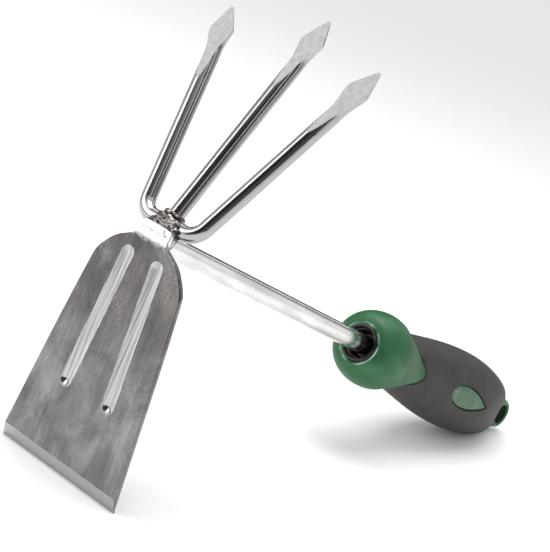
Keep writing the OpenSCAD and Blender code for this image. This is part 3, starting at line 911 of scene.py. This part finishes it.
class CULTIVATOR_OT_grip(bpy.types.Operator):
    """Soft grip with its windows for the inlays"""

    bl_idname = "cultivator.grip"
    bl_label = "Soft grip"

    def execute(self, context):
        p = handle_props()
        cols = 192
        phi = np.linspace(0, 2 * math.pi, cols, endpoint=False)
        edge = tongue_edge(phi, p) + 0.25
        ends = self.round_the_eye(phi, p)
        fore = np.linspace(0, 1, 30) ** 1.15
        rear = np.arange(55.2, 128.5, 1.2)
        shell = Shell()

        def ring(u, drop=0.0):
            u = np.broadcast_to(u, phi.shape)
            r = flattened(grip_radius(u, p.belly_r), u, phi) - drop
            # The skin dips into the joint behind the collar, above and below.
            dip = 0.9 * np.exp(-(((u - edge - 1.6) / 1.9) ** 2))
            r = r - dip * smooth((np.abs(np.cos(phi)) - 0.5) / 0.35)
            return shell.loop(round_points(p.front + u, phi, r),
                              np.stack([phi * 18, u], -1))

        # A thin lip fills the joint behind the collar's edge.
        lip = np.maximum(collar_radius(edge, p) - 0.35 - grip_radius(edge, p.belly_r), 0)
        loops = [ring(edge + 0.1, 2.6), ring(edge - 0.05, 0.4 - lip),
                 ring(edge + 0.15, 0.12 - lip), ring(edge + 0.55, 0.12 - lip),
                 ring(edge + 0.8, 0.3 - lip * 0.8), ring(edge + 1.0, -lip * 0.25),
                 ring(edge + 1.3, 0.0)]
        loops += [ring(edge + 1.3 + (54 - edge - 1.3) * f) for f in fore[1:]]
        first = len(loops)
        loops += [ring(u) for u in rear]
        last = rear[-1]
        for f in [*np.linspace(0, 0.9, 18)[1:], 0.94, 0.97]:
            loops.append(ring(last + (ends - last) * f))
        loops += [ring(ends - 0.36), ring(ends - 0.14, 0.05), ring(ends - 0.02, 0.2),
                  ring(ends, 0.5), ring(ends, 2.2)]
        i0 = first + int(np.searchsorted(rear, INLAY_FROM - 4.4))
        i1 = first + int(np.searchsorted(rear, INLAY_FROM + INLAY_LEN + 4.4))
        reach = 15
        sides = [cols // 4, 3 * cols // 4]
        for i, (a, b) in enumerate(zip(loops, loops[1:])):
            for j in range(cols):
                near = any(abs(j + 0.5 - c) < reach for c in sides)
                if i0 <= i < i1 and near:
                    continue
                k = (j + 1) % cols
                shell.faces.append((a[j], a[k], b[k], b[j]))
                # Painted shade: the first loops over and under the handle take the black joint
                # rubber.
                up = math.cos(phi[j])
                shell.slots.append(int(i < 9 and up > 0.36 or i < 5 and up < -0.36))
        # The loops between each opening in the grid and the inlay's window.
        for c in sides:
            j0, j1 = c - reach, c + reach
            rim = [loops[i1][j] for j in range(c, j1)]
            rim += [loops[i][j1] for i in range(i1, i0, -1)]
            rim += [loops[i0][j] for j in range(j1, j0, -1)]
            rim += [loops[i][j0] for i in range(i0, i1)]
            rim += [loops[i1][j] for j in range(j0, c)]
            where = np.array([(shell.points[v][0] - p.front,
                               (math.atan2(shell.points[v][1], shell.points[v][2]) % math.tau))
                              for v in rim])
            mid = math.pi / 2 if c == sides[0] else 3 * math.pi / 2
            outline, normal = inlay_outline(len(rim), 0.25)
            tailward = smooth((outline[:, 0] - INLAY_FROM - 6) / 14)
            outline = outline + normal * 0.4 * tailward[:, None]
            window = np.stack([outline[:, 0], mid + outline[:, 1] / GRIP_ARC], -1)
            toward = np.stack([normal[:, 0], normal[:, 1] / GRIP_ARC], -1)
            # From the grid to the window's rounded lip, down its wall and in over the
            # floor that keeps the skin closed: where each loop lies and how deep.
            q = np.array([INLAY_FROM + 11, mid])
            steps = [(where * (1 - f) + (window + toward * 0.45) * f, 0.0)
                     for f in (0.16, 0.34, 0.52, 0.68, 0.8, 0.89, 0.95, 0.985)]
            steps += [(window + toward * back, drop) for back, drop in (
                (0.42, 0.01), (0.25, 0.07), (0.1, 0.22), (0.0, 0.5), (-0.02, 2.0))]
            steps += [(window * (1 - f) + q * f, 2.1) for f in (0.5, 0.95)]
            last = rim
            for w, drop in steps:
                r = flattened(grip_radius(w[:, 0], p.belly_r), w[:, 0], w[:, 1]) - drop
                new = shell.loop(round_points(p.front + w[:, 0], w[:, 1], r),
                                 np.stack([w[:, 1] * 18, w[:, 0]], -1))
                shell.bridge(last, new)
                last = new
            r = float(grip_radius(q[0], p.belly_r)) - 2.1
            shell.cap(last, (p.front + q[0], r * math.sin(mid), 0))
        for ring_ in (loops[0], loops[-1]):
            x = np.mean([shell.points[v][0] for v in ring_])
            shell.cap(ring_, (x, 0, 0))
        grip = shell.piece("grip_skin", [soft_grip(), joint_shade_rubber()], crease=50)
        hand_over(grip, "grey_rubber", "grip")
        return {"FINISHED"}

    def round_the_eye(self, phi, p):
        """How far the skin reaches at each angle before it meets the eye's round."""
        u = np.linspace(136, 151.3, 700)[:, None]
        r = flattened(grip_radius(u, p.belly_r), u, phi[None, :])
        free = np.hypot(u - EYE_AT, r * np.cos(phi[None, :])) > 8.2
        first = np.where(free.all(0), 699, np.argmin(free, 0))
        reach = u[first, 0]
        for _ in range(2):
            reach = (np.roll(reach, 1) + 2 * reach + np.roll(reach, -1)) / 4
        return reach


class CULTIVATOR_OT_core(bpy.types.Operator):
    """Collar with its tongues, the two inlays and the tail eye"""

    bl_idname = "cultivator.core"
    bl_label = "Handle core"

    def execute(self, context):
        p = handle_props()
        green = green_shell()
        self.collar(p, green)
        self.inlays(p)
        self.eye(p, green)
        return {"FINISHED"}

    def collar(self, p, green):
        phi = np.linspace(0, 2 * math.pi, 192, endpoint=False)
        edge = tongue_edge(phi, p)
        shell = Shell()

        def ring(u, r):
            u = np.broadcast_to(np.asarray(u, float), phi.shape)
            r = np.broadcast_to(np.asarray(r, float), phi.shape)
            return shell.loop(round_points(p.front + u, phi, r), np.stack([phi * 14, u], -1))

        loops = [ring(9, 8.35), ring(1.1, 8.35), ring(0.9, 8.4), ring(0.35, 9.25),
                 ring(0.12, 9.6), ring(0.02, 9.85), ring(0.03, 10.1)]
        for q in np.linspace(0.06, 1, 26):
            u = NOSE_LEN * (1 - math.cos(q * math.pi / 2))
            loops.append(ring(u, collar_radius(u, p)))
        for f in np.linspace(0, 1, 30)[1:]:
            u = NOSE_LEN + (edge - 1.3 - NOSE_LEN) * f
            loops.append(ring(u, collar_radius(u, p)))
        for back, drop in ((1.1, 0.02), (0.8, 0.1), (0.5, 0.25), (0.2, 0.5), (0.05, 0.8),
                           (0.0, 1.2), (0.1, 3.6)):
            loops.append(ring(edge - back, collar_radius(edge, p) - drop))
        shell.skin(loops[:3])
        # The seat's edge takes the paler rim: a painted highlight.
        shell.skin(loops[2:5], slot=1)
        shell.skin(loops[4:-6])
        # Painted shade blackens the joint over and under the handle, not at the tongues.
        first = len(shell.slots)
        shell.skin(loops[-7:])
        for i in range(first, len(shell.slots)):
            if abs(math.cos(phi[(i - first) % 192])) > 0.36:
                shell.slots[i] = 2
        inner = [ring(edge - 1, 9.5), ring(19.0, 8.35)]
        shell.skin([loops[-1]] + inner)
        # The bore behind the ring's seat joins both ends of the skin.
        shell.bridge(inner[-1], loops[0])
        collar = shell.piece("collar", [green, rim_highlight(), joint_shade_rubber()], crease=35)
        hand_over(collar, "green_plastic", "handle_core")

    def inlays(self, p):
        # The inlays take a paler copy of the green: a painted sheen.
        material = green_inlay_sheen()
        shell = Shell()
        for mid in (math.pi / 2, 3 * math.pi / 2):
            outline, _ = inlay_outline(128, 0.0)
            centre = np.array([INLAY_FROM + 13.0, 0.0])
            last = None
            for f, drop in ((1.0, 2.6), (1.0, 0.55), (0.985, 0.28), (0.95, 0.1), (0.88, 0.0),
                            (0.75, -0.1), (0.55, -0.18), (0.3, -0.22), (0.1, -0.24)):
                w = centre + (outline - centre) * f
                angle = mid + w[:, 1] / GRIP_ARC
                r = flattened(grip_radius(w[:, 0], p.belly_r), w[:, 0], angle) - drop - 0.12
                new = shell.loop(round_points(p.front + w[:, 0], angle, r),
                                 np.stack([w[:, 1], w[:, 0]], -1))
                if last is None:
                    low = float(grip_radius(centre[0], p.belly_r)) - 2.7
                    shell.cap(new, (p.front + centre[0], low * math.sin(mid), 0))
                else:
                    shell.bridge(last, new)
                last = new
            high = float(grip_radius(centre[0], p.belly_r)) + 0.12
            shell.cap(last, (p.front + centre[0], high * math.sin(mid), 0))
        inlays = shell.piece("side_inlays", [material], crease=45)
        hand_over(inlays, "green_plastic")

    def eye(self, p, green):
        """Round eye at the tail: loops run from the hang hole's bore over each face to
        the rim, which is square where it is let into the grip and round behind."""
        hole, rim = p.hole_r, 7.95
        count = 144
        ang = np.linspace(0, 2 * math.pi, count, endpoint=False)
        dx, dz = np.cos(ang), np.sin(ang)
        let_in = smooth((-dx + 0.05) / 0.6)
        shell = Shell()

        def ring(rho, y):
            rho = np.broadcast_to(rho, ang.shape)
            y = np.broadcast_to(y, ang.shape)
            pts = np.stack([p.front + EYE_AT + rho * dx, y, rho * dz], -1)
            return shell.loop(pts, np.stack([rho * dx, rho * dz], -1))

        half = [ring(hole, 0.0), ring(hole, 3.4), ring(hole, 4.75)]
        for out, drop in ((0.04, 0.62), (0.16, 0.36), (0.36, 0.15), (0.62, 0.03), (0.9, 0)):
            half.append(ring(hole + out, EYE_HALF - drop))
        for t in (0.42, 0.52, 0.62, 0.72, 0.81, 0.88, 0.94, 0.975, 0.993):
            square = EYE_HALF * (1 - t**26) ** 0.5
            soft = EYE_HALF * (1 - ((t - 0.3) / 0.7) ** 2.6) ** (1 / 2.4)
            half.append(ring(hole + (rim - hole) * t, square * let_in + soft * (1 - let_in)))
        half += [ring(rim, 3.2 * let_in + 0.4 * (1 - let_in)), ring(rim, 0.0)]
        # Slot 1 on both faces of the bore takes the dark green: painted shade.
        shell.skin(half[:4], slot=1)
        shell.skin(half[3:])
        other = []
        for h in half:
            pts = np.array([shell.points[v] for v in h]) * [1, -1, 1]
            other.append(shell.loop(pts, [shell.uv[v] for v in h]))
        shell.skin(other[:2:-1])
        shell.skin(other[3::-1], slot=1)
        eye = shell.piece("tail_eye", [green, green_bore_shade()], crease=45, weld=2e-6)
        hand_over(eye, "green_plastic")


class CULTIVATOR_OT_ring(bpy.types.Operator):
    """Glossy ring round the shaft"""

    bl_idname = "cultivator.ring"
    bl_label = "Entry ring"

    def execute(self, context):
        at = handle_props().front
        shell = Shell()
        profile = [(at + 9.0, 4.4), (at + 9.0, 8.25), (at + 0.2, 8.25), (at - 0.1, 8.15),
                   (at - 0.28, 7.9), (at - 0.3, 7.6), (at - 0.2, 7.3), (at + 0.05, 7.1),
                   (at + 0.9, 6.95), (at + 1.5, 6.9), (at + 1.7, 6.75), (at + 1.8, 6.3),
                   (at + 2.0, 6.1), (at + 5.8, 5.9), (at + 6.6, 5.5), (at + 6.9, 4.9),
                   (at + 6.9, 4.4)]
        rings = turned(shell, profile, 128)
        shell.bridge(rings[-1], rings[0])
        ring = shell.piece("shaft_ring", [black_ring()], crease=50)
        hand_over(ring, "black_plastic", "entry_ring")
        return {"FINISHED"}


# ---------------------------------------------------------------- stage

# Where the viewer stands, in metres, the three directions of the view and its lens.
EYE = Vector((-0.5687, -0.3358, 0.2165))
RIGHT = Vector((0.59138, -0.72827, 0.34626))
UP = Vector((-0.02503, 0.41260, 0.91056))
BACK = Vector((-0.80600, -0.54715, 0.22577))
LENS = 104.63


class CULTIVATOR_OT_stage(bpy.types.Operator):
    """Floor, studio light and camera"""

    bl_idname = "cultivator.stage"
    bl_label = "Studio"

    def execute(self, context):
        scene = context.scene
        power = stage_props().light
        cam = bpy.data.cameras.new("camera")
        cam.lens, cam.sensor_width = LENS, 36
        cam.clip_start, cam.clip_end = 0.01, 100
        view = bpy.data.objects.new("camera", cam)
        scene.collection.objects.link(view)
        view.matrix_world = Matrix((
            (RIGHT.x, UP.x, BACK.x, EYE.x), (RIGHT.y, UP.y, BACK.y, EYE.y),
            (RIGHT.z, UP.z, BACK.z, EYE.z), (0, 0, 0, 1)))
        scene.camera = view

        size = 30.0
        mesh = bpy.data.meshes.new("floor")
        mesh.from_pydata([(-size, -size, 0), (size, -size, 0), (size, size, 0),
                          (-size, size, 0)], [], [(0, 1, 2, 3)])
        mesh.materials.append(studio_floor())
        floor = bpy.data.objects.new("floor", mesh)
        scene.collection.objects.link(floor)

        def softbox(name, place, look, width, height, watts):
            data = bpy.data.lights.new(name, "AREA")
            data.shape, data.size, data.size_y = "RECTANGLE", width, height
            data.energy = watts * power
            lamp = bpy.data.objects.new(name, data)
            scene.collection.objects.link(lamp)
            lamp.location = place
            way = Vector(look) - Vector(place)
            lamp.rotation_euler = way.to_track_quat("-Z", "Y").to_euler()

        softbox("overhead", (0.0, 0.2, 1.45), (0, 0, 0), 0.9, 0.9, 11)
        softbox("left", (-0.9, 0.9, 0.7), (0, 0, 0.05), 0.6, 0.9, 4)

        world = bpy.data.worlds.new("studio")
        scene.world = world
        world.use_nodes = True
        t = world.node_tree
        t.nodes.clear()
        way = add(t, "ShaderNodeTexCoord").outputs["Generated"]

        # The room that polished steel shows, fixed in space: a ramp of dark and pale
        # walls from one end to the other, one strip light and a bright ceiling.
        part = {}
        for key, direction, *spread in (
                ("depth", BACK, -1, 1, 0, 1), ("rise", RIGHT, 0.40, 0.46, 0, 1),
                ("fall", RIGHT, 0.56, 0.62, 1, 0), ("ceiling", (0, 0, 1), 0.72, 0.92, 0, 1)):
            along = add(t, "ShaderNodeVectorMath", {0: way, 1: direction},
                        operation="DOT_PRODUCT")
            part[key] = add(t, "ShaderNodeMapRange", {
                "Value": along, **dict(zip(SPREAD, spread))})
        room = add(t, "ShaderNodeValToRGB", {"Fac": part["depth"]}, [
            (0.0, "060606"), (0.14, "0c0c0c"), (0.21, "f4f4f4"), (0.30, "ffffff"),
            (0.36, "9a9a9a"), (0.58, "868686"), (0.65, "ffffff"), (0.72, "ffffff"),
            (0.75, "4a4a4a"), (0.84, "1c1c1c"), (0.93, "0e0e0e"), (1.0, "565656")])
        strip = add(t, "ShaderNodeMath", {0: part["rise"], 1: part["fall"]},
                    operation="MULTIPLY")
        bright = add(t, "ShaderNodeMath", {0: strip, 1: part["ceiling"]},
                     operation="MAXIMUM")
        seen = add(t, "ShaderNodeMix", {"Factor": bright, "A": room, "B": linear("ffffff")},
                   data_type="RGBA")
        # The viewer sees white paper behind the tool, and soft light comes from a paler
        # grey than the room's walls.
        ray = add(t, "ShaderNodeLightPath").outputs
        plain = add(t, "ShaderNodeMix", {
            "Factor": ray["Is Camera Ray"], "A": linear("eeeeee"), "B": linear("ffffff")},
            data_type="RGBA")
        shown = add(t, "ShaderNodeMix", {
            "Factor": ray["Is Glossy Ray"], "A": plain, "B": seen}, data_type="RGBA")
        glow = add(t, "ShaderNodeBackground", {"Color": shown, "Strength": power})
        add(t, "ShaderNodeOutputWorld", {"Surface": glow})
        scene.view_settings.view_transform = "Standard"
        return {"FINISHED"}


class CULTIVATOR_PT_panel(bpy.types.Panel):
    """Sizes and steps of the cultivator"""

    bl_idname = "CULTIVATOR_PT_panel"
    bl_label = "Hand cultivator"
    bl_space_type = "VIEW_3D"
    bl_region_type = "UI"
    bl_category = "Cultivator"

    def draw(self, context):
        for group in (head_props(), handle_props(), stage_props()):
            box = self.layout.box()
            for key in group.__annotations__:
                box.prop(group, key)
        for step in STEPS:
            self.layout.operator(step.bl_idname)


GROUPS = {"cultivator_head": CultivatorHead, "cultivator_handle": CultivatorHandle,
          "cultivator_stage": CultivatorStage}
STEPS = [CULTIVATOR_OT_stage, CULTIVATOR_OT_blade, CULTIVATOR_OT_tines,
         CULTIVATOR_OT_shaft, CULTIVATOR_OT_welds, CULTIVATOR_OT_core,
         CULTIVATOR_OT_grip, CULTIVATOR_OT_ring]


def register():
    for name, group in GROUPS.items():
        bpy.utils.register_class(group)
        setattr(bpy.types.Scene, name, bpy.props.PointerProperty(type=group))
    for step in [*STEPS, CULTIVATOR_PT_panel]:
        bpy.utils.register_class(step)


def unregister():
    for step in reversed([*STEPS, CULTIVATOR_PT_panel]):
        bpy.utils.unregister_class(step)
    for name, group in GROUPS.items():
        delattr(bpy.types.Scene, name)
        bpy.utils.unregister_class(group)


def main():
    register()
    for step in STEPS:
        family, name = step.bl_idname.split(".")
        getattr(getattr(bpy.ops, family), name)()


if __name__ == "__main__":
    main()
